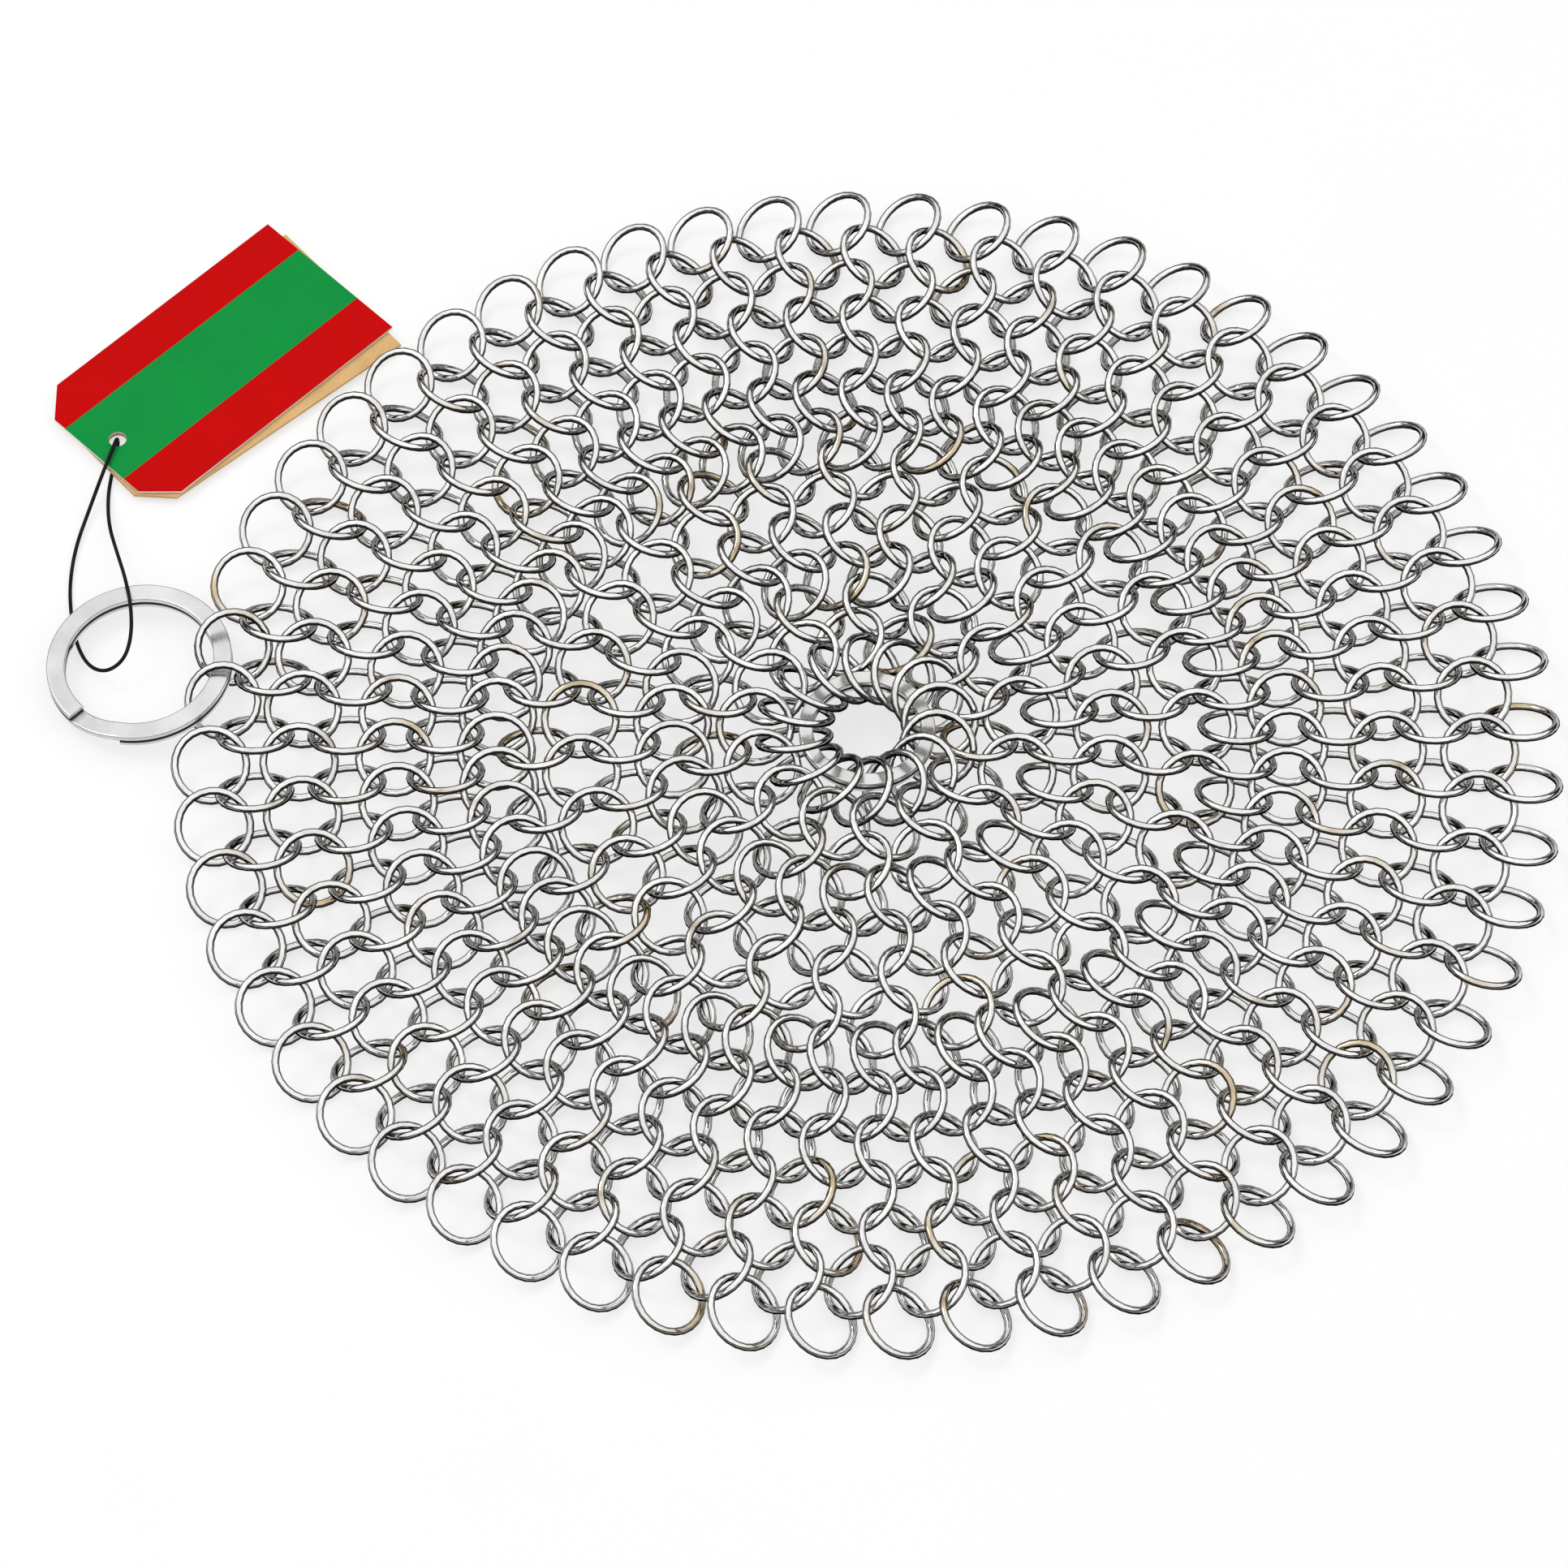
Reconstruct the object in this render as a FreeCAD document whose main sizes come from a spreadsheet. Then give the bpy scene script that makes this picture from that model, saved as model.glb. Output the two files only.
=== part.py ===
import FreeCAD
import Part
import Sketcher
import math
import os

# Pot scrubber of linked steel rings, millimetres, +Z up.
# The origin is at the centre of the disc, on the face that it lies on.
# The key ring and the hang tag are on the -X side.

Vec = FreeCAD.Vector
doc = FreeCAD.newDocument("pot_scrubber")
sheet = doc.addObject("Spreadsheet::Sheet", "sizes")

SIZES = [
    # One link of the mesh: a closed ring of round wire
    ("ring_od", 10.2),
    ("wire_dia", 1.0),
    # How far the links of a row lean out of the flat, in degrees
    ("row_angle", 30.0),
    ("first_angle", 41.0),
    ("gather_angle", 27.5),
    ("narrow_angle", 26.5),
    ("double_angle", 32.0),
    # The disc lies on its outer rows, and its middle is a little higher
    ("disc_rise", 2.4),
    # Split ring that gathers the first row
    ("centre_band", 1.8),
    ("centre_thick", 0.85),
    ("centre_room", 0.5),
    ("centre_drop", 0.22),
    # Split ring at the edge
    ("key_od", 24.0),
    ("key_band", 2.4),
    ("key_thick", 0.85),
    ("key_seat", 0.98),
    ("key_rise", 0.1),
    ("tip_angle", 2.5),
    # Both split rings: gap between turns, broken edges, the step from turn to turn
    ("turn_gap", 0.1),
    ("edge_cut", 0.2),
    ("step_angle", 30.0),
    ("end_angle", 3.0),
    # Hang tag
    ("card_length", 42.0),
    ("card_width", 24.5),
    ("card_thick", 0.4),
    ("card_corner", 4.0),
    ("card_hole", 2.4),
    ("hole_inset", 3.75),
    ("card_gap", 0.1),
    ("lie_angle", 52.5),
    ("fan_angle", 4.0),
    ("cord_dia", 0.5),
    ("cord_gap", 0.12),
]

for line, (name, value) in enumerate(SIZES, 1):
    sheet.set("A%d" % line, name)
    sheet.set("B%d" % line, str(value))
    sheet.setAlias("B%d" % line, name)
doc.recompute()


def val(name):
    return float(sheet.get(name))


def ref(text):
    words = {name for name, value in SIZES}
    out = []
    for token in text.split():
        out.append("sizes." + token if token in words else token)
    return " ".join(out)


# Weave: links per row from the centre out, and row pitches in mean link diameters
ROWS = [14] * 3 + [28] * 4 + [56] * 7
FIRST_PITCH = 1.0217
HUB_PITCH = 0.5326
GATHER_PITCH = 0.5870
NARROW_PITCH = 0.6087
DOUBLE_PITCH = 0.5435
LINK_REACH = 0.7772
STRIP_PITCH = 1.0163
# Lifts off the flat, in wire diameters
FIRST_LIFT = 0.1
GATHER_LIFT = 0.3
NARROW_LIFT = 0.4

link_dia = val("ring_od") - val("wire_dia")
last = len(ROWS) - 1


def plan_rows():
    rows = []
    for k, count in enumerate(ROWS):
        narrow = k < last and ROWS[k + 1] > count
        gather = not narrow and k + 1 < last and ROWS[k + 2] > ROWS[k + 1]
        double = k > 0 and count > ROWS[k - 1]
        lean, lift = val("row_angle"), 0.0
        if k == 0:
            radius = FIRST_PITCH * link_dia
            lean, lift = val("first_angle"), FIRST_LIFT
        elif narrow:
            radius = rows[-1]["radius"] + NARROW_PITCH * link_dia
            lean, lift = val("narrow_angle"), NARROW_LIFT
        elif double:
            radius = rows[-1]["radius"] + DOUBLE_PITCH * link_dia
            lean = val("double_angle")
        elif gather:
            pitch = HUB_PITCH if k == 1 else GATHER_PITCH
            radius = rows[-1]["radius"] + pitch * link_dia
            lean, lift = val("gather_angle"), GATHER_LIFT
        else:
            half = math.pi / count
            inner = rows[-1]["radius"]
            across = inner * math.sin(half)
            radius = inner * math.cos(half) + math.sqrt((LINK_REACH * link_dia) ** 2 - across ** 2)
        rows.append({"count": count, "radius": radius, "lean": lean, "lift": lift})
    rim = rows[last - 1]["radius"]
    for row in rows:
        inward = max(0.0, 1 - (row["radius"] / rim) ** 2)
        slope = math.atan(4 * val("disc_rise") * row["radius"] / rim ** 2 * inward)
        upright = math.cos(math.radians(row["lean"])) * math.cos(slope)
        reach = link_dia / 2 * math.sqrt(1 - upright ** 2)
        row["slope"] = math.degrees(slope)
        row["height"] = reach + val("wire_dia") * (0.5 + row["lift"]) + val("disc_rise") * inward ** 2
    start = math.pi / ROWS[last]
    for k in range(last, -1, -1):
        rows[k]["start"] = start
        rows[k]["side"] = 1 if (last - k) % 2 == 0 else -1
        if k > 0 and ROWS[k - 1] == ROWS[k]:
            start += math.pi / ROWS[k]
    return rows


# The two outer links that hold the key ring, and the link between them, are drawn aside by it:
# shift in mm, then yaw, pitch and roll in degrees
DRAWN = {
    (13, 27): (Vec(0.95, -0.95, 0.8), (13, 7, 12)),
    (13, 28): (Vec(0.9, 0.55, 0.1), (-2, -5, 1)),
    (12, 27): (Vec(1.3, 0.2, 0.2), (8, 2, 0)),
}

link = doc.addObject("Part::Torus", "link")
link.setExpression("Radius1", ref("( ring_od - wire_dia ) / 2"))
link.setExpression("Radius2", ref("wire_dia / 2"))

rows = plan_rows()
strips = {}
for k, row in enumerate(rows):
    for j in range(row["count"]):
        angle = row["start"] + 2 * math.pi * j / row["count"]
        place = Vec(row["radius"] * math.cos(angle), row["radius"] * math.sin(angle), row["height"])
        turn = FreeCAD.Rotation(Vec(0, 0, 1), math.degrees(angle))
        dip = FreeCAD.Rotation(Vec(0, 1, 0), row["slope"])
        lean = FreeCAD.Rotation(Vec(1, 0, 0), -row["side"] * row["lean"])
        index = round(place.x / (STRIP_PITCH * link_dia))
        shift, tip = DRAWN.get((k, j), (Vec(0, 0, 0), (0, 0, 0)))
        copy = doc.addObject("App::Link", "link_%d_%d" % (k + 1, j + 1))
        copy.LinkedObject = link
        copy.Placement = FreeCAD.Placement(place + shift, FreeCAD.Rotation(*tip) * turn * dip * lean)
        strips.setdefault(index, []).append(copy)

nodes = []
for index in sorted(strips):
    side = "left" if index < 0 else "right"
    label = "mesh_%s_%d" % (side, abs(index)) if index else "mesh_middle"
    strip = doc.addObject("Part::Compound", label)
    strip.Links = strips[index]
    nodes.append(strip)


# Section of flat wire, drawn in the plane through the ring's axis
def flat_wire(name, outer, band, turn, level, spin):
    sketch = doc.addObject("Sketcher::SketchObject", name)
    upright = FreeCAD.Rotation(Vec(1, 0, 0), 90)
    sketch.Placement = FreeCAD.Placement(Vec(0, 0, 0), FreeCAD.Rotation(Vec(0, 0, 1), spin) * upright)
    inside, outside = "%s / 2 - %s" % (outer, band), "%s / 2" % outer
    low, high = "%s - %s / 2" % (level, turn), "%s + %s / 2" % (level, turn)
    corners = [
        (inside + " + edge_cut", low),
        (outside + " - edge_cut", low),
        (outside, low + " + edge_cut"),
        (outside, high + " - edge_cut"),
        (outside + " - edge_cut", high),
        (inside + " + edge_cut", high),
        (inside, high + " - edge_cut"),
        (inside, low + " + edge_cut"),
    ]
    draw_outline(sketch, corners)
    return sketch


def draw_outline(sketch, corners):
    sheet_values = {name: val(name) for name, value in SIZES}
    spots = []
    for across, up in corners:
        spots.append(Vec(worth(across, sheet_values), worth(up, sheet_values), 0))
    for i, spot in enumerate(spots):
        sketch.addGeometry(Part.LineSegment(spot, spots[(i + 1) % len(spots)]))
    for i, (across, up) in enumerate(corners):
        sketch.addConstraint(Sketcher.Constraint("Coincident", i, 2, (i + 1) % len(spots), 1))
    for i, (across, up) in enumerate(corners):
        mark = sketch.addConstraint(Sketcher.Constraint("DistanceX", -1, 1, i, 1, spots[i].x))
        sketch.setExpression("Constraints[%d]" % mark, ref(across))
        mark = sketch.addConstraint(Sketcher.Constraint("DistanceY", -1, 1, i, 1, spots[i].y))
        sketch.setExpression("Constraints[%d]" % mark, ref(up))


# Value of a sum of terms such as "key_od / 2 - key_band"
def worth(text, values):
    total, sign, term, divide = 0.0, 1.0, None, False
    for token in text.split():
        if token in "+-":
            total += sign * (term or 0.0)
            sign, term = (1.0 if token == "+" else -1.0), None
        elif token == "/":
            divide = True
        else:
            number = values[token] if token in values else float(token)
            term = term / number if divide else number
            divide = False
    return total + sign * (term or 0.0)


# A split ring: a lower turn, a step and an upper turn of flat wire in one piece
def split_ring(label, outer, band, turn):
    level = "%s / 2 + turn_gap / 2" % turn
    lower = flat_wire(label + "_lower", outer, band, turn, "0 - %s / 2 - turn_gap / 2" % turn, 0)
    upper = flat_wire(label + "_upper", outer, band, turn, level, val("step_angle"))
    sweep = "360 - step_angle - end_angle"
    first = doc.addObject("Part::Revolution", label + "_first_turn")
    first.Source = lower
    first.Axis = Vec(0, 0, 1)
    first.Solid = True
    first.setExpression("Angle", ref("0 - ( %s )" % sweep))
    second = doc.addObject("Part::Revolution", label + "_second_turn")
    second.Source = upper
    second.Axis = Vec(0, 0, 1)
    second.Solid = True
    second.setExpression("Angle", ref(sweep))
    ramp = doc.addObject("Part::Helix", label + "_ramp")
    ramp.setExpression("Radius", ref("( %s - %s ) / 2" % (outer, band)))
    ramp.setExpression("Height", ref("%s + turn_gap" % turn))
    ramp.setExpression("Pitch", ref("( %s + turn_gap ) * 360 / step_angle" % turn))
    ramp.setExpression("Placement.Base.z", ref("0 - %s / 2 - turn_gap / 2" % turn))
    doc.recompute()
    step = doc.addObject("Part::Sweep", label + "_step")
    step.Sections = [lower]
    step.Spine = (ramp, ["Edge%d" % (i + 1) for i in range(len(ramp.Shape.Edges))])
    step.Solid = True
    step.Frenet = True
    ring = doc.addObject("Part::MultiFuse", label)
    ring.Shapes = [first, step, second]
    nodes.append(ring)
    return ring


centre_od = 2 * rows[1]["radius"] - val("ring_od") - 2 * val("centre_room")
sheet.set("A%d" % (len(SIZES) + 1), "centre_od")
sheet.set("B%d" % (len(SIZES) + 1), str(centre_od))
sheet.setAlias("B%d" % (len(SIZES) + 1), "centre_od")
SIZES.append(("centre_od", centre_od))
doc.recompute()

centre_ring = split_ring("centre_ring", "centre_od", "centre_band", "centre_thick")
centre_height = rows[0]["height"] - val("centre_drop")
centre_ring.Placement = FreeCAD.Placement(Vec(0, 0, centre_height), FreeCAD.Rotation(Vec(0, 0, 1), 20))

key_ring = split_ring("key_ring", "key_od", "key_band", "key_thick")
hold = rows[last]["radius"] * math.cos(rows[last]["start"]) + val("key_seat")
reach = (val("key_od") - val("key_band")) / 2
half_gap = rows[last]["radius"] * math.sin(rows[last]["start"])
key_centre = Vec(-hold - math.sqrt(reach ** 2 - half_gap ** 2), 0, rows[last]["height"] + val("key_rise"))
key_lie = FreeCAD.Rotation(Vec(0, 1, 0), -val("tip_angle")) * FreeCAD.Rotation(Vec(0, 0, 1), 235)
key_ring.Placement = FreeCAD.Placement(key_centre, key_lie)


# Hang tag cards, drawn about the centre of their hole
def card(label, lie, level):
    body = doc.addObject("PartDesign::Body", label)
    base = [f for f in body.Origin.OriginFeatures if f.Role == "XY_Plane"][0]
    outline = body.newObject("Sketcher::SketchObject", label + "_outline")
    outline.AttachmentSupport = (base, [""])
    outline.MapMode = "FlatFace"
    end, far = "0 - hole_inset", "card_length - hole_inset"
    side, other = "card_width / 2", "0 - card_width / 2"
    draw_outline(outline, [
        (end, other + " + card_corner"),
        (end + " + card_corner", other),
        (far, other),
        (far, side),
        (end + " + card_corner", side),
        (end, side + " - card_corner"),
    ])
    hole = outline.addGeometry(Part.Circle(Vec(0, 0, 0), Vec(0, 0, 1), val("card_hole") / 2))
    outline.addConstraint(Sketcher.Constraint("Coincident", hole, 3, -1, 1))
    mark = outline.addConstraint(Sketcher.Constraint("Diameter", hole, val("card_hole")))
    outline.setExpression("Constraints[%d]" % mark, ref("card_hole"))
    pad = body.newObject("PartDesign::Pad", label + "_board")
    pad.Profile = outline
    pad.setExpression("Length", ref("card_thick"))
    spot = Vec(HOLE_SPOT.x, HOLE_SPOT.y, level)
    body.Placement = FreeCAD.Placement(spot, FreeCAD.Rotation(Vec(0, 0, 1), lie))
    nodes.append(body)
    return body


# The tag and its cord are laid out from the key ring's centre, for a key ring of this size
LAYOUT_RING = 24.0
grow = val("key_od") / LAYOUT_RING
HOLE_SPOT = Vec(key_centre.x - 9.645 * grow, key_centre.y + 35.8 * grow, 0)
under_cards = val("cord_dia") + 2 * val("cord_gap")
back_card = card("back_card", val("lie_angle") - val("fan_angle"), under_cards)
front_level = under_cards + val("card_thick") + val("card_gap")
front_card = card("front_card", val("lie_angle"), front_level)

# Cord: from under the cards up through their holes, under the key ring, over it and back.
# Across and along from the key ring's centre, and up from the face, for this height under the cards
LAYOUT_SEAT = 0.74
LAYOUT = [
    (-9.595, 34.12, 0.37),
    (-9.645, 35.80, 0.37),
    (-9.645, 35.80, 2.10),
    (-9.895, 33.60, 2.16),
    (-10.495, 29.80, 2.00),
    (-11.395, 24.60, 0.85),
    (-12.145, 19.00, 0.42),
    (-11.895, 13.20, 0.37),
    (-10.745, 8.00, 0.37),
    (-9.045, 3.30, 0.62),
    (-6.745, -0.30, 1.50),
    (-4.045, -1.80, 2.90),
    (-1.845, -0.50, 4.20),
    (-1.395, 2.70, 5.00),
    (-2.245, 7.20, 5.10),
    (-3.945, 12.00, 4.45),
    (-6.145, 17.00, 2.95),
    (-8.245, 22.00, 1.30),
    (-9.345, 26.60, 0.47),
    (-9.645, 30.40, 0.37),
    (-9.565, 33.70, 0.37),
]
rise = under_cards / LAYOUT_SEAT
CORD = [Vec(key_centre.x + x * grow, key_centre.y + y * grow, z * rise) for x, y, z in LAYOUT]


def cord_path(points):
    edges, radii = [], []
    begin = points[0]
    for i in range(1, len(points) - 1):
        back, ahead = points[i - 1] - points[i], points[i + 1] - points[i]
        turn = math.pi - back.getAngle(ahead)
        trim = 0.45 * min(back.Length, ahead.Length)
        radius = trim / math.tan(turn / 2)
        back.normalize()
        ahead.normalize()
        enter, leave = points[i] + back * trim, points[i] + ahead * trim
        inward = (back + ahead).normalize()
        middle = points[i] + inward * (radius / math.cos(turn / 2) - radius)
        edges.append(Part.LineSegment(begin, enter).toShape())
        edges.append(Part.Arc(enter, middle, leave).toShape())
        radii.append((round(radius, 2), round(math.degrees(turn), 1)))
        begin = leave
    edges.append(Part.LineSegment(begin, points[-1]).toShape())
    return Part.Wire(edges), radii


path, bends = cord_path(CORD)
print("cord radii and turns:", bends)
route = doc.addObject("Part::Feature", "cord_route")
route.Shape = path
section = doc.addObject("Part::Circle", "cord_section")
section.setExpression("Radius", ref("cord_dia / 2"))
heading = FreeCAD.Rotation(Vec(0, 0, 1), CORD[1] - CORD[0])
section.Placement = FreeCAD.Placement(CORD[0], heading)
doc.recompute()
tag_cord = doc.addObject("Part::Sweep", "tag_cord")
tag_cord.Sections = [section]
tag_cord.Spine = (route, ["Edge%d" % (i + 1) for i in range(len(path.Edges))])
tag_cord.Solid = True
nodes.append(tag_cord)

doc.recompute()

# Every object has to be sound before anything is written
for item in doc.Objects:
    if "Invalid" in item.State or "Error" in item.State:
        raise RuntimeError("failed: " + item.Label)
for node in nodes:
    if node.Shape.isNull() or not node.Shape.isValid():
        raise RuntimeError("bad shape: " + node.Label)
area = math.pi * val("cord_dia") ** 2 / 4
print("cord volume %.3f, section times length %.3f" % (tag_cord.Shape.Volume, area * path.Length))

os.makedirs("parts", exist_ok=True)
total = 0
for node in nodes:
    node.Shape.exportStep("parts/%s.step" % node.Label)
    total += len(node.Shape.Solids)
print("nodes %d, solids %d" % (len(nodes), total))
print("row radii", [round(row["radius"], 2) for row in rows])
print("key ring centre", key_centre, "centre ring height", round(centre_height, 3))
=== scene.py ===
import bpy
import math
import numpy as np
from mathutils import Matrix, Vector


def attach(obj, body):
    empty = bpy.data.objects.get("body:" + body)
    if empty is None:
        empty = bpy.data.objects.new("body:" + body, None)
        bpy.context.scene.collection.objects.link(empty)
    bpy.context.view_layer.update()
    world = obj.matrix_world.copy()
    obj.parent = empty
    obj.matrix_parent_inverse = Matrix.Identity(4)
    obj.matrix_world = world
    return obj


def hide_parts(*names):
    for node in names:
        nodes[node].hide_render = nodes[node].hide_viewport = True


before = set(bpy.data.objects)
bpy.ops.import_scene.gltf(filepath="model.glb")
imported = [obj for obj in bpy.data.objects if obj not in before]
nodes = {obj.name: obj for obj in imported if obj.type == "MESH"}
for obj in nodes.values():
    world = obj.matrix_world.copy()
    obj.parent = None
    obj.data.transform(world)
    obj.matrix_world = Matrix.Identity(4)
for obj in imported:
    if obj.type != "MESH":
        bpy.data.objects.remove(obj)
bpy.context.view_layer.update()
mm = 0.001
scene = bpy.context.scene
print("frame loaded:", len(nodes), "nodes")


def srgb(red, green, blue):   # 0-255 screen values to linear
    parts = np.array([red, green, blue]) / 255.0
    linear = np.where(parts <= 0.04045, parts / 12.92, ((parts + 0.055) / 1.055) ** 2.4)
    return (float(linear[0]), float(linear[1]), float(linear[2]), 1.0)


# Camera: looks down at the disc from the front, turned a little against the model's own axes
cameraSet = {
    "turn": 7.4,            # degrees from the model's +Y to the view's depth
    "elevation": 57.0,
    "distance": 854.0,      # mm from the aim
    "pixelsPerMm": 9.64,    # at the aim
    "aimPixel": (1068.0, 931.0),
    "frame": 1932.0,        # pixels each way
    "sensor": 36.0,
    "clip": (0.01, 50.0),
}


def makeCamera(values):
    turn = math.radians(values["turn"])
    tilt = math.radians(values["elevation"])
    half = values["frame"] / 2
    acrossMm = (half - values["aimPixel"][0]) / values["pixelsPerMm"]
    depthMm = (values["aimPixel"][1] - half) / values["pixelsPerMm"] / math.sin(tilt)
    right = Vector((math.cos(turn), math.sin(turn), 0))
    depth = Vector((-math.sin(turn), math.cos(turn), 0))
    aim = (right * acrossMm + depth * depthMm) * mm
    back = -depth * math.cos(tilt) + Vector((0, 0, math.sin(tilt)))
    data = bpy.data.cameras.new("photoCamera")
    data.sensor_width = values["sensor"]
    data.lens = values["pixelsPerMm"] * values["distance"] / values["frame"] * values["sensor"]
    data.clip_start, data.clip_end = values["clip"]
    camera = bpy.data.objects.new("photoCamera", data)
    camera.location = aim + back * values["distance"] * mm
    camera.rotation_euler = (-back).to_track_quat("-Z", "Y").to_euler()
    scene.collection.objects.link(camera)
    scene.camera = camera


makeCamera(cameraSet)
print("camera placed")


# Quads of a grid of nu by nv points, wrapped round where it closes
def gridQuads(nu, nv, closeU, closeV):
    u = np.arange(nu if closeU else nu - 1)
    v = np.arange(nv if closeV else nv - 1)
    a, b = np.meshgrid(u, v, indexing="ij")
    c, d = (a + 1) % nu, (b + 1) % nv
    return np.stack([a * nv + b, c * nv + b, c * nv + d, a * nv + d], -1).reshape(-1, 4)


def meshObject(name, points, quads, material, smooth=True):
    mesh = bpy.data.meshes.new(name)
    points = np.ascontiguousarray(points, dtype=np.float32).reshape(-1, 3)
    quads = np.ascontiguousarray(quads, dtype=np.int32).reshape(-1, 4)
    mesh.vertices.add(len(points))
    mesh.vertices.foreach_set("co", points.ravel())
    mesh.loops.add(quads.size)
    mesh.loops.foreach_set("vertex_index", quads.ravel())
    mesh.polygons.add(len(quads))
    mesh.polygons.foreach_set("loop_start", np.arange(0, quads.size, 4, dtype=np.int32))
    mesh.polygons.foreach_set("use_smooth", np.full(len(quads), smooth))
    mesh.update(calc_edges=True)
    mesh.validate()
    mesh.materials.append(material)
    piece = bpy.data.objects.new(name, mesh)
    scene.collection.objects.link(piece)
    return piece


def pointAttribute(piece, name, values):
    layer = piece.data.attributes.new(name, "FLOAT", "POINT")
    layer.data.foreach_set("value", np.ascontiguousarray(values, dtype=np.float32).ravel())


# Small helpers for node trees
noiseRange = (0.3, 0.7)     # where most of a noise lies


def addNode(tree, kind, inputs=None, **settings):
    node = tree.nodes.new(kind)
    for key, value in settings.items():
        setattr(node, key, value)
    for key, value in (inputs or {}).items():
        if isinstance(value, bpy.types.NodeSocket):
            tree.links.new(value, node.inputs[key])
        else:
            node.inputs[key].default_value = value
    return node


def mathNode(tree, operation, first, second=0.0, third=0.0):
    return addNode(tree, "ShaderNodeMath", {0: first, 1: second, 2: third}, operation=operation).outputs[0]


def mixColor(tree, factor, first, second):
    return addNode(tree, "ShaderNodeMix", {0: factor, 6: first, 7: second}, data_type="RGBA").outputs[2]


def scaleColor(tree, color, amount):
    node = addNode(tree, "ShaderNodeVectorMath", {0: color}, operation="SCALE")
    tree.links.new(amount, node.inputs["Scale"])
    return node.outputs[0]


def spread(tree, value, low, high, toLow, toHigh):
    node = addNode(tree, "ShaderNodeMapRange", {0: value, 1: low, 2: high, 3: toLow, 4: toHigh})
    return node.outputs[0]


def noise(tree, place, scale, detail, **more):
    inputs = {"Vector": place, "Scale": scale, "Detail": detail, **more}
    return addNode(tree, "ShaderNodeTexNoise", inputs).outputs["Fac"]


def attribute(tree, name):
    return addNode(tree, "ShaderNodeAttribute", attribute_name=name).outputs["Fac"]


def objectCoords(tree):
    return addNode(tree, "ShaderNodeTexCoord").outputs["Object"]


def newMaterial(name, **fixed):
    material = bpy.data.materials.new(name)
    material.use_nodes = True
    tree = material.node_tree
    shader = tree.nodes["Principled BSDF"]
    for key, value in fixed.items():
        shader.inputs[key.replace("_", " ")].default_value = value
    return material, tree, shader


def addBump(tree, shader, height, strength, depth=0.1 * mm):
    bump = addNode(tree, "ShaderNodeBump", {"Strength": strength, "Distance": depth, "Height": height})
    tree.links.new(bump.outputs[0], shader.inputs["Normal"])


def newGroup(name, inputs, outputs):
    group = bpy.data.node_groups.new(name, "ShaderNodeTree")
    for way, sockets in (("INPUT", inputs), ("OUTPUT", outputs)):
        for label, kind in sockets:
            group.interface.new_socket(label, in_out=way, socket_type="NodeSocket" + kind)
    return group, addNode(group, "NodeGroupInput").outputs, addNode(group, "NodeGroupOutput").inputs


# Shared group: drawn metal, with a fine grain, rub marks and a slow change of tone
drawnMetalSet = {
    "slowScale": 160.0,
    "fineScale": 2600.0,
    "rubScale": 700.0,
    "rubRange": (0.52, 0.7),
    "tones": (0.86, 1.08),
    "rubbedColor": (0.36, 0.35, 0.34, 1.0),
    "rubbedRoughness": 0.25,
    "fineHeight": 0.5,
}


def makeDrawnMetalGroup(values):
    group, given, out = newGroup(
        "drawnMetal",
        (("Vector", "Vector"), ("Color", "Color"), ("Rub", "Float"),
         ("Low Roughness", "Float"), ("High Roughness", "Float")),
        (("Color", "Color"), ("Roughness", "Float"), ("Height", "Float")))
    place = given["Vector"]
    slow = noise(group, place, values["slowScale"], detail=3.0)
    fine = noise(group, place, values["fineScale"], detail=4.0, Roughness=0.65)
    rubs = noise(group, place, values["rubScale"], detail=5.0, Distortion=1.2)
    rubbed = mathNode(group, "MULTIPLY", spread(group, rubs, *values["rubRange"], 0.0, 1.0), given["Rub"])
    toned = scaleColor(group, given["Color"], spread(group, slow, *noiseRange, *values["tones"]))
    dull = mixColor(group, rubbed, toned, values["rubbedColor"])
    rough = addNode(group, "ShaderNodeMix", {
        0: fine, 2: given["Low Roughness"], 3: given["High Roughness"],
    }, data_type="FLOAT").outputs[0]
    roughRubbed = mathNode(group, "MULTIPLY_ADD", rubbed, values["rubbedRoughness"], rough)
    height = mathNode(group, "MULTIPLY_ADD", fine, values["fineHeight"], rubs)
    group.links.new(dull, out["Color"])
    group.links.new(roughRubbed, out["Roughness"])
    group.links.new(height, out["Height"])
    return group


# Shared group: paper board, with fibres and a slow mottle
paperSet = {
    "stretch": (1.0, 3.2, 1.0),     # fibres lie along the card
    "fibreScale": 900.0,
    "mottleScale": 130.0,
    "shadeRange": (0.7, 1.3),       # of fibres and mottle together
}


def makePaperGroup(values):
    group, given, out = newGroup(
        "paperBoard",
        (("Vector", "Vector"), ("Color", "Color"), ("Fibre", "Float")),
        (("Color", "Color"), ("Height", "Float")))
    place = given["Vector"]
    along = addNode(group, "ShaderNodeMapping", {"Vector": place, "Scale": values["stretch"]}).outputs[0]
    fibres = noise(group, along, values["fibreScale"], detail=6.0, Roughness=0.7)
    mottle = noise(group, place, values["mottleScale"], detail=2.0)
    shade = spread(group, mathNode(group, "ADD", fibres, mottle), *values["shadeRange"], -1.0, 1.0)
    amount = mathNode(group, "MULTIPLY_ADD", shade, given["Fibre"], 1.0)
    group.links.new(scaleColor(group, given["Color"], amount), out["Color"])
    group.links.new(fibres, out["Height"])
    return group


drawnMetal = makeDrawnMetalGroup(drawnMetalSet)
paperBoard = makePaperGroup(paperSet)

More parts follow.
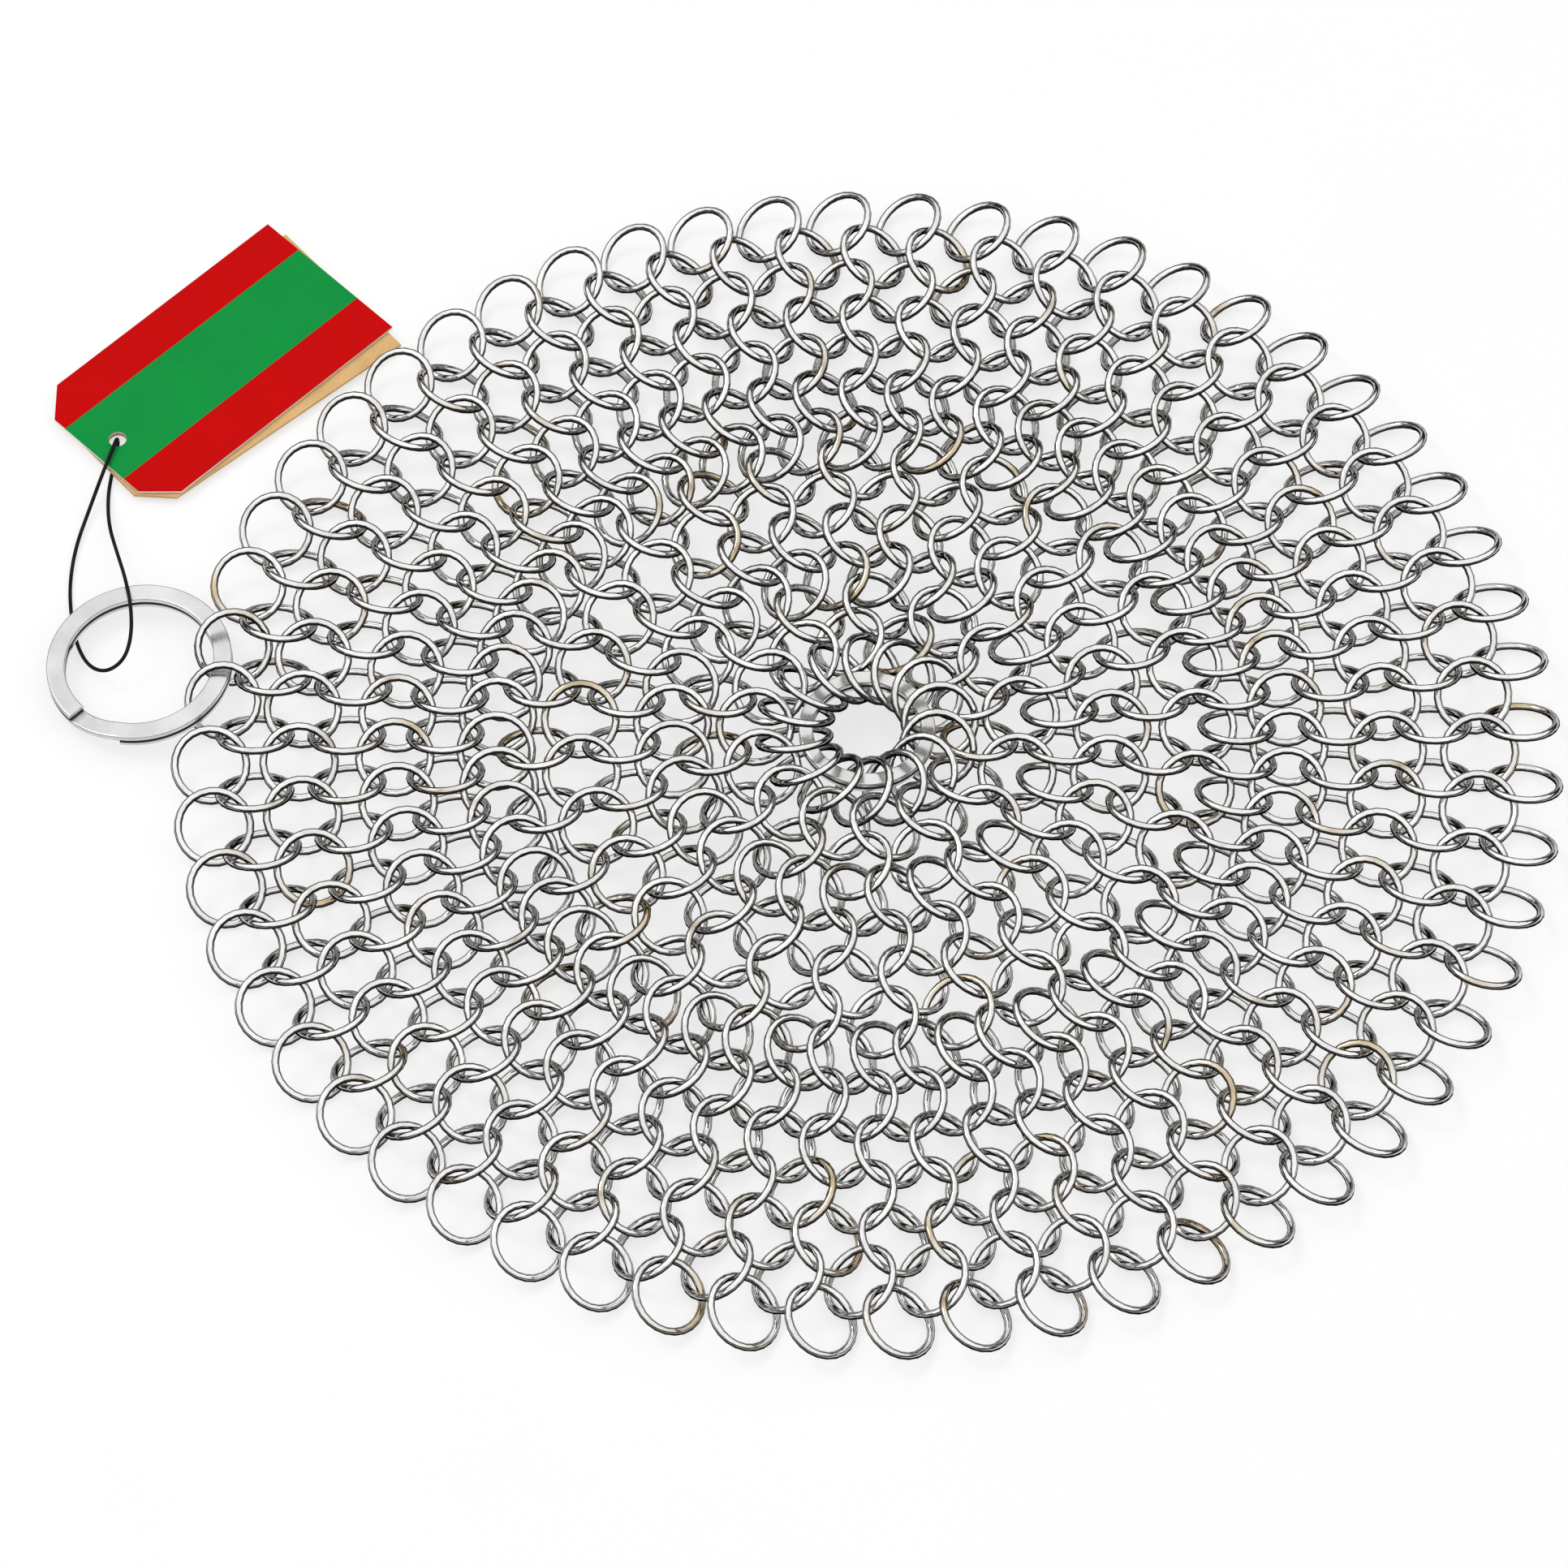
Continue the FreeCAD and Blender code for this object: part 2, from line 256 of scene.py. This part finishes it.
# Steel of the links and of the two split rings
steelSet = {
    "plain": (0.80, 0.795, 0.785, 1.0),
    "straw": (0.58, 0.47, 0.31, 1.0),
    "brown": (0.30, 0.23, 0.16, 1.0),
    # near-black painted shade, laid on the links' wire sides and in the split rings' grooves
    "paintedShade": (0.03, 0.0295, 0.029, 1.0),
    "paintedSideShade": (0.38, 0.54),      # upward share of the wire's outward line: painted side shade below the first, plain steel above the second
    "grazing": (0.12, 0.12, 0.12, 1.0),     # tint where the wire turns away
    "keyRing": (0.68, 0.68, 0.685, 1.0),
    "centreRing": (0.70, 0.695, 0.685, 1.0),
    # share of rub marks, lowest and highest roughness, strength of the bump
    "linkFinish": {"rub": 0.25, "low": 0.04, "high": 0.11, "bump": 0.12},
    "ringFinish": {"rub": 0.12, "low": 0.16, "high": 0.32, "bump": 0.1},
}


def useMetal(tree, shader, color, paintedShade, mask, rub, low, high, bump):   # painted shade where the mask says
    metal = addNode(tree, "ShaderNodeGroup", {
        "Vector": objectCoords(tree), "Color": color, "Rub": rub,
        "Low Roughness": low, "High Roughness": high,
    }, node_tree=drawnMetal)
    withPaintedShade = mixColor(tree, mask, metal.outputs["Color"], paintedShade)
    tree.links.new(withPaintedShade, shader.inputs["Base Color"])
    tree.links.new(metal.outputs["Roughness"], shader.inputs["Roughness"])
    addBump(tree, shader, metal.outputs["Height"], bump)


def makeLinkSteel(values):
    material, tree, shader = newMaterial("linkSteel", Metallic=1.0, Specular_Tint=values["grazing"])
    straw = mixColor(tree, attribute(tree, "weldHeat"), values["plain"], values["straw"])
    burnt = mixColor(tree, attribute(tree, "weldSeam"), straw, values["brown"])
    upward = mathNode(tree, "ABSOLUTE", attribute(tree, "wireTilt"))
    paintedSideShade = spread(tree, upward, *values["paintedSideShade"], 1.0, 0.0)    # painted shade on the wire's sides, where its outward line lies near level; tops and undersides keep the plain steel
    useMetal(tree, shader, burnt, values["paintedShade"], paintedSideShade, **values["linkFinish"])
    return material


def makeRingSteel(name, color, values):
    material, tree, shader = newMaterial(name, Metallic=1.0)
    groove = attribute(tree, "groove")      # painted shade in the gap between the turns
    useMetal(tree, shader, color, values["paintedShade"], groove, **values["ringFinish"])
    return material


linkSteel = makeLinkSteel(steelSet)
keySteel = makeRingSteel("keyRingSteel", steelSet["keyRing"], steelSet)
hubSteel = makeRingSteel("centreRingSteel", steelSet["centreRing"], steelSet)
print("metals made")

# Mesh of links: rows of rings, each row leaning against the next. Pitches and reach are shares of the
# wire circle's diameter, lifts are shares of the wire, leans are degrees out of the flat.
weave = {
    "rows": [14] * 3 + [28] * 4 + [56] * 7,
    "ringOd": 10.2,
    "wire": 1.0,
    "firstRadius": 1.0217,
    "hubPitch": 0.5326,
    "gatherPitch": 0.5870,
    "narrowPitch": 0.6087,
    "doublePitch": 0.5435,
    "reach": 0.7772,
    "stripPitch": 1.0163,
    "leans": {"plain": 30.0, "first": 41.0, "gather": 27.5, "narrow": 26.5, "double": 32.0},
    "lifts": {"plain": 0.0, "first": 0.1, "gather": 0.3, "narrow": 0.4, "double": 0.0},
    "drawn": {   # links that the key ring draws aside: shift in mm; yaw, pitch, roll
        (13, 27): ((0.95, -0.95, 0.8), (13, 7, 12)),
        (13, 28): ((0.9, 0.55, 0.1), (-2, -5, 1)),
        (12, 27): ((1.3, 0.2, 0.2), (8, 2, 0)),
    },
    "rise": 2.4,            # mm, of the disc's middle over its outer rows
    "around": 24,
    "across": 8,
    "seed": 7,
    "heated": (0.18, 0.34),     # middle and spread of how far a weld has coloured its link
    "golden": 0.06,             # share of links that a hotter weld has coloured farther round
    "seamReach": 0.35,          # mm along the wire, as are the next three
    "heatReach": 2.4,
    "goldenReach": 6.0,
    "swellReach": 0.6,
    "weldSwell": 0.05,          # share of the wire's radius
}


def rowKind(rows, k):
    if k == 0:
        return "first"
    if k + 1 < len(rows) and rows[k + 1] > rows[k]:
        return "narrow"
    if rows[k] > rows[k - 1]:
        return "double"
    if k + 2 < len(rows) and rows[k + 2] > rows[k + 1]:
        return "gather"
    return "plain"


def turnMatrix(axis, degrees):
    c, s = math.cos(math.radians(degrees)), math.sin(math.radians(degrees))
    i, j = [(1, 2), (2, 0), (0, 1)][axis]
    m = np.eye(3)
    m[i, i], m[i, j], m[j, i], m[j, j] = c, -s, s, c
    return m


# Radius of each row, outwards from the hub, and the angle of its first link. A plain row's links sit
# between those of the row inside it, at a fixed reach from both.
def planRows(values, dia):
    rows = values["rows"]
    radii, starts = [], [0.0] * len(rows)
    for k, count in enumerate(rows):
        kind = rowKind(rows, k)
        if kind == "first":
            radii.append(values["firstRadius"] * dia)
        elif kind == "plain":
            half = math.pi / count
            side = radii[-1] * math.sin(half)
            radii.append(radii[-1] * math.cos(half) + math.sqrt((values["reach"] * dia) ** 2 - side ** 2))
        else:
            pitch = values["hubPitch"] if k == 1 else values[kind + "Pitch"]
            radii.append(radii[-1] + pitch * dia)
    start = math.pi / rows[-1]
    for k in range(len(rows) - 1, -1, -1):
        starts[k] = start
        if k > 0 and rows[k - 1] == rows[k]:
            start += math.pi / rows[k]
    return radii, starts


# A link stands at its row's radius and angle. It is leaned about the radius, then dipped with the dome:
# the disc rises towards its middle as the square of one less the squared share of the rim's radius.
def planLinks(values):
    rows = values["rows"]
    dia = values["ringOd"] - values["wire"]
    radii, starts = planRows(values, dia)
    rim = radii[-2]
    centres, frames, strips = [], [], []
    for k, count in enumerate(rows):
        kind = rowKind(rows, k)
        side = 1 if (len(rows) - 1 - k) % 2 == 0 else -1
        lean = values["leans"][kind]
        inward = max(0.0, 1 - (radii[k] / rim) ** 2)
        slope = math.atan(4 * values["rise"] * radii[k] / rim ** 2 * inward)
        upright = math.cos(math.radians(lean)) * math.cos(slope)
        height = dia / 2 * math.sqrt(1 - upright ** 2)
        height += values["wire"] * (0.5 + values["lifts"][kind]) + values["rise"] * inward ** 2
        tilted = turnMatrix(1, math.degrees(slope)) @ turnMatrix(0, -side * lean)
        for j in range(count):
            angle = starts[k] + 2 * math.pi * j / count
            centre = np.array([radii[k] * math.cos(angle), radii[k] * math.sin(angle), height])
            strips.append(round(centre[0] / (values["stripPitch"] * dia)))
            basis = turnMatrix(2, math.degrees(angle)) @ tilted
            if (k, j) in values["drawn"]:
                shift, (yaw, pitch, roll) = values["drawn"][(k, j)]
                centre = centre + np.array(shift)
                basis = turnMatrix(2, yaw) @ turnMatrix(1, pitch) @ turnMatrix(0, roll) @ basis
            centres.append(centre)
            frames.append(basis)
    return np.array(centres), np.array(frames), np.array(strips)


# Each link is a torus: a circle of wire carried round a circle, with a slight swell at its weld. Heat,
# seam and swell fall off along the wire as bell curves from the weld.
def buildLinks(values, material):
    centres, frames, strips = planLinks(values)
    rng = np.random.default_rng(values["seed"])
    count = len(centres)
    nu, nv = values["around"], values["across"]
    u = np.linspace(0, 2 * math.pi, nu, endpoint=False)
    v = np.linspace(0, 2 * math.pi, nv, endpoint=False)
    big = (values["ringOd"] - values["wire"]) / 2
    small = values["wire"] / 2
    weldAt = rng.uniform(0, 2 * math.pi, count)
    heated = np.clip(rng.normal(*values["heated"], count), 0, 1)
    golden = rng.random(count) < values["golden"]
    heated = np.where(golden, 1.0, heated)[:, None]
    heatReach = np.where(golden, values["goldenReach"], values["heatReach"])[:, None]
    away = ((u[None] - weldAt[:, None] + math.pi) % (2 * math.pi) - math.pi) * big
    seam = np.exp(-(away / values["seamReach"]) ** 2) * heated
    heat = np.exp(-(away / heatReach) ** 2) * heated
    radius = small * (1 + values["weldSwell"] * np.exp(-(away / values["swellReach"]) ** 2))[:, :, None]
    cosU, sinU = np.cos(u)[:, None], np.sin(u)[:, None]
    outward = np.stack([np.cos(v) * cosU, np.cos(v) * sinU, np.sin(v) + 0 * cosU], -1)
    spine = np.stack([cosU, sinU, 0 * cosU], -1) * big
    local = spine[None] + radius[..., None] * outward[None]
    points = np.einsum("nij,nuvj->nuvi", frames, local) + centres[:, None, None]
    tilt = np.einsum("ni,uvi->nuv", frames[:, 2], outward)
    quads = gridQuads(nu, nv, True, True)
    for strip in sorted(set(strips)):
        label = "middle" if strip == 0 else "%s_%d" % ("left" if strip < 0 else "right", abs(strip))
        mine = np.where(strips == strip)[0]
        faces = quads[None] + (np.arange(len(mine)) * nu * nv)[:, None, None]
        piece = meshObject("links_" + label, points[mine] * mm, faces, material)
        pointAttribute(piece, "weldHeat", np.repeat(heat[mine][:, :, None], nv, 2))
        pointAttribute(piece, "weldSeam", np.repeat(seam[mine][:, :, None], nv, 2))
        # upward share of the wire's outward line, which places the painted side shade
        pointAttribute(piece, "wireTilt", tilt[mine])
        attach(piece, "mesh_" + label)
        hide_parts("mesh_" + label)
    print("links built:", count)


buildLinks(weave, linkSteel)

# Split rings: what both have alike, then each one's own sizes in mm and degrees
splitRing = {
    "thick": 0.85,
    "gap": 0.1,
    "edge": 0.2,
    "step": 30.0,
    "end": 3.0,
    "steps": 240,
    "flatMargin": 0.06,     # keeps the flats flat beside the round edges
    "sharpAngle": 50.0,
    "grooveFall": (1.0, 1.0, 1.0, 1.0, 0.9, 0.1),   # painted shade in the gap, from the flat that looks at the other turn to the wall
}
centreRing = dict(splitRing, node="centre_ring", od=17.4, band=1.8, spin=20.0, tip=0.0,
                  centre=(0.0, 0.0, 5.730))
keyRing = dict(splitRing, node="key_ring", od=24.0, band=2.4, spin=235.0, tip=-2.5,
               centre=(-94.355, 0.0, 2.9))


# Flat section with round edges: quarter circles at its four corners, joined by straight sides
def flatSection(values):
    e, half = values["edge"], values["thick"] / 2
    outer, inner = values["od"] / 2, values["od"] / 2 - values["band"]
    corners = ((outer - e, e - half), (outer - e, half - e), (inner + e, half - e), (inner + e, e - half))
    spots = []
    for n, (x, z) in enumerate(corners):
        turn = np.radians(90 * n - 90 + np.array([0, 30, 60, 90]))
        arc = np.stack([x + e * np.cos(turn), z + e * np.sin(turn)], -1)
        onward = np.stack([-np.sin(turn), np.cos(turn)], -1) * values["flatMargin"]
        spots += [arc[0] - onward[0], *arc, arc[-1] + onward[-1]]
    return np.array(spots)


# The section is carried round nearly two turns, and rises from one to the other along a short step
def buildSplitRing(values, material):
    sweep = 360.0 - values["step"] - values["end"]
    n = values["steps"]
    angle = np.linspace(-sweep, sweep + values["step"], n)
    climb = values["thick"] + values["gap"]
    level = climb * (np.clip(angle / values["step"], 0, 1) - 0.5)
    section = flatSection(values)
    m = len(section)
    a = np.radians(angle)[:, None]
    radius, height = section[None, :, 0], section[None, :, 1]
    points = np.stack([radius * np.cos(a), radius * np.sin(a), height + level[:, None]], -1)
    ends = points[[0, -1]].mean(1)
    placed = turnMatrix(1, values["tip"]) @ turnMatrix(2, values["spin"])
    points = np.concatenate([points.reshape(-1, 3), ends]) @ placed.T + np.array(values["centre"])
    first = np.arange(0, m, 2)
    rim = np.stack([first, first + 1, (first + 2) % m], -1)
    startCap = np.column_stack([np.full(len(rim), n * m), rim])
    endCap = np.column_stack([np.full(len(rim), n * m + 1), rim[:, ::-1] + (n - 1) * m])
    quads = np.concatenate([gridQuads(n, m, False, True), startCap, endCap])
    piece = meshObject(values["node"] + "_steel", points * mm, quads, material)
    piece.data.set_sharp_from_angle(angle=math.radians(values["sharpAngle"]))
    # Painted shade on the corners and flats that face the gap between the turns
    fall = np.array(values["grooveFall"])
    none = np.zeros(len(fall))
    over = np.concatenate([none, fall[::-1], fall, none])
    under = np.concatenate([fall, none, none, fall[::-1]])
    groove = (angle < -values["end"])[:, None] * over + (angle > values["step"])[:, None] * under
    pointAttribute(piece, "groove", np.append(groove.ravel(), [0.0, 0.0]))
    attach(piece, values["node"])
    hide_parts(values["node"])


buildSplitRing(centreRing, hubSteel)
buildSplitRing(keyRing, keySteel)
print("split rings built")

# Cord: the route of its solid in mm, as one smooth line
cordSet = {
    "diameter": 0.5,
    "length": 82.1,
    "route": [
        (-103.95, 34.12, 0.37), (-104.00, 35.80, 0.37), (-104.00, 35.80, 2.10), (-104.25, 33.60, 2.16),
        (-104.85, 29.80, 2.00), (-105.75, 24.60, 0.85), (-106.50, 19.00, 0.42), (-106.25, 13.20, 0.37),
        (-105.10, 8.00, 0.37), (-103.40, 3.30, 0.62), (-101.10, -0.30, 1.50), (-98.40, -1.80, 2.90),
        (-96.20, -0.50, 4.20), (-95.75, 2.70, 5.00), (-96.60, 7.20, 5.10), (-98.30, 12.00, 4.45),
        (-100.50, 17.00, 2.95), (-102.60, 22.00, 1.30), (-103.70, 26.60, 0.47), (-104.00, 30.40, 0.37),
        (-103.92, 33.70, 0.37),
    ],
    "roundness": 4,
    "smoothness": 10,
    "dark": (0.004, 0.004, 0.004, 1.0),
    "light": (0.012, 0.012, 0.012, 1.0),
    "twistScale": 3800.0,
    "toneScale": 300.0,
    "roughness": (0.45, 0.7),
}


def makeCordBlack(values):
    material, tree, shader = newMaterial("waxedCordBlack", Specular_IOR_Level=0.12)
    place = objectCoords(tree)
    twist = noise(tree, place, values["twistScale"], detail=3.0)
    tone = spread(tree, noise(tree, place, values["toneScale"], detail=2.0), *noiseRange, 0.0, 1.0)
    tree.links.new(mixColor(tree, tone, values["dark"], values["light"]), shader.inputs["Base Color"])
    tree.links.new(spread(tree, twist, *noiseRange, *values["roughness"]), shader.inputs["Roughness"])
    addBump(tree, shader, twist, strength=0.5)
    return material


def buildCord(values, material):
    data = bpy.data.curves.new("tag_cord_line", "CURVE")
    data.dimensions = "3D"
    data.bevel_depth = values["diameter"] / 2 * mm
    data.bevel_resolution = values["roundness"]
    data.resolution_u = values["smoothness"]
    data.use_fill_caps = True
    spline = data.splines.new("NURBS")
    route = np.array(values["route"]) * mm
    spline.points.add(len(route) - 1)
    spline.points.foreach_set("co", np.column_stack([route, np.ones(len(route))]).ravel())
    spline.order_u = 3
    spline.use_endpoint_u = True
    piece = bpy.data.objects.new("tag_cord_line", data)
    scene.collection.objects.link(piece)
    data.materials.append(material)
    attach(piece, "tag_cord")
    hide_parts("tag_cord")


cordBlack = makeCordBlack(cordSet)
buildCord(cordSet, cordBlack)
print("cord laid")

# Cards: the front one printed in three bands along its length, the back one bare board
cardSet = {
    "hole": (-104.0, 35.8),
    "width": 24.5,
    "frontLie": 52.5,
    "backLie": 48.5,
    "frontTop": 1.64,
    "inkDepth": (0.06, 0.03),   # mm under the top: board below the first, ink above the second
    "bands": (0.25, 0.72),      # where the bands meet, as shares of the width
    "bandEdge": 0.005,          # mm
    "inkRoughness": (0.38, 0.5),
    "red": srgb(196, 4, 5),
    "green": srgb(17, 144, 64),
    "board": srgb(214, 175, 120),
    "core": srgb(238, 236, 230),
}


def cardCoords(tree, values, lie):   # metres along the card and across it, from its hole
    turn = math.radians(lie)
    x, y = values["hole"]
    along = x * math.cos(turn) + y * math.sin(turn)
    across = y * math.cos(turn) - x * math.sin(turn)
    return addNode(tree, "ShaderNodeMapping", {
        "Vector": objectCoords(tree),
        "Location": (-along * mm, -across * mm, 0.0),
        "Rotation": (0, 0, -turn),
    }).outputs[0]


def usePaper(tree, shader, place, color, fibre, bump):
    paper = addNode(tree, "ShaderNodeGroup", {"Vector": place, "Color": color, "Fibre": fibre},
                    node_tree=paperBoard)
    tree.links.new(paper.outputs["Color"], shader.inputs["Base Color"])
    addBump(tree, shader, paper.outputs["Height"], bump)
    return paper.outputs["Height"]


def makePrintedCard(values):
    material, tree, shader = newMaterial("printedCard", Specular_IOR_Level=0.04)
    place = cardCoords(tree, values, values["frontLie"])
    parts = addNode(tree, "ShaderNodeSeparateXYZ", {0: place}).outputs
    soft = values["bandEdge"] * mm
    upper, lower = [(0.5 - share) * values["width"] * mm for share in values["bands"]]
    below = spread(tree, parts["Y"], upper - soft, upper + soft, 1.0, 0.0)
    above = spread(tree, parts["Y"], lower - soft, lower + soft, 0.0, 1.0)
    ink = mixColor(tree, mathNode(tree, "MULTIPLY", below, above), values["red"], values["green"])
    low, high = [(values["frontTop"] - depth) * mm for depth in values["inkDepth"]]
    color = mixColor(tree, spread(tree, parts["Z"], low, high, 0.0, 1.0), values["core"], ink)
    fibres = usePaper(tree, shader, place, color, fibre=0.05, bump=0.06)
    rough = spread(tree, fibres, *noiseRange, *values["inkRoughness"])
    tree.links.new(rough, shader.inputs["Roughness"])
    return material


def makeBareCard(values):
    material, tree, shader = newMaterial("bareBoardCard", Roughness=0.85, Specular_IOR_Level=0.1)
    place = cardCoords(tree, values, values["backLie"])
    usePaper(tree, shader, place, values["board"], fibre=0.14, bump=0.25)
    return material


def dressNode(name, material):
    nodes[name].data.materials.clear()
    nodes[name].data.materials.append(material)


dressNode("front_card", makePrintedCard(cardSet))
dressNode("back_card", makeBareCard(cardSet))
print("cards dressed")

# The solids under the new pieces, in the same finish
for name in nodes:
    if name.startswith("mesh_"):
        dressNode(name, linkSteel)
dressNode("centre_ring", hubSteel)
dressNode("key_ring", keySteel)
dressNode("tag_cord", cordBlack)

# Floor, light and room: a pale floor under a bright ceiling, with dark walls low down
roomSet = {
    "floorSize": 6.0,
    "floorColors": ((0.94, 0.94, 0.94, 1.0), (0.95, 0.95, 0.95, 1.0)),
    "floorGrain": 40.0,
    "floorGlow": 0.65,          # share of the floor's look that is plain white
    "keyPower": 4.0,
    "keySize": 0.5,
    "keyPlace": (-0.95, 0.3, 1.35),
    "roomLevel": 1.15,
    # height of the view line, share of the level
    "walls": ((0.0, 0.03), (0.36, 0.02), (0.5, 1.0), (1.0, 1.0)),
}


# The floor is seen, also in the metal, as part plain white and part lit, so that it keeps its shadow
def makeFloor(values):
    half = values["floorSize"] / 2
    material, tree, shader = newMaterial("paleFloor", Roughness=0.9)
    grain = noise(tree, objectCoords(tree), values["floorGrain"], detail=2.0)
    grain = spread(tree, grain, *noiseRange, 0.0, 1.0)
    tree.links.new(mixColor(tree, grain, *values["floorColors"]), shader.inputs["Base Color"])
    path = addNode(tree, "ShaderNodeLightPath").outputs
    seen = mathNode(tree, "MAXIMUM", path["Is Camera Ray"], path["Is Glossy Ray"])
    seen = mathNode(tree, "MAXIMUM", seen, path["Is Transmission Ray"])
    glow = addNode(tree, "ShaderNodeEmission", {"Color": (1.0, 1.0, 1.0, 1.0), "Strength": 1.0})
    share = mathNode(tree, "MULTIPLY", seen, values["floorGlow"])
    both = addNode(tree, "ShaderNodeMixShader", {0: share, 1: shader.outputs[0], 2: glow.outputs[0]})
    tree.links.new(both.outputs[0], tree.nodes["Material Output"].inputs["Surface"])
    corners = np.array([[-half, -half, 0], [half, -half, 0], [half, half, 0], [-half, half, 0]])
    floor = meshObject("floor", corners, [[0, 1, 2, 3]], material, smooth=False)


def makeKeyLight(values):
    data = bpy.data.lights.new("softKey", "AREA")
    data.shape = "SQUARE"
    data.size = values["keySize"]
    data.energy = values["keyPower"]
    lamp = bpy.data.objects.new("softKey", data)
    lamp.location = values["keyPlace"]
    lamp.rotation_euler = (-Vector(values["keyPlace"])).to_track_quat("-Z", "Y").to_euler()
    scene.collection.objects.link(lamp)


def makeWorld(values):
    world = bpy.data.worlds.new("studio")
    scene.world = world
    world.use_nodes = True
    tree = world.node_tree
    paint = tree.nodes["Background"]
    view = addNode(tree, "ShaderNodeTexCoord").outputs["Generated"]
    height = addNode(tree, "ShaderNodeSeparateXYZ", {0: view}).outputs["Z"]
    ramp = addNode(tree, "ShaderNodeValToRGB", {0: height})
    stops = ramp.color_ramp.elements
    while len(stops) < len(values["walls"]):
        stops.new(0.5)
    for stop, (position, share) in zip(stops, values["walls"]):
        stop.position = position
        stop.color = (share, share, share, 1.0)
    tree.links.new(ramp.outputs[0], paint.inputs["Color"])
    paint.inputs["Strength"].default_value = values["roomLevel"]


makeFloor(roomSet)
makeKeyLight(roomSet)
makeWorld(roomSet)
scene.view_settings.view_transform = "Standard"
print("room lit")
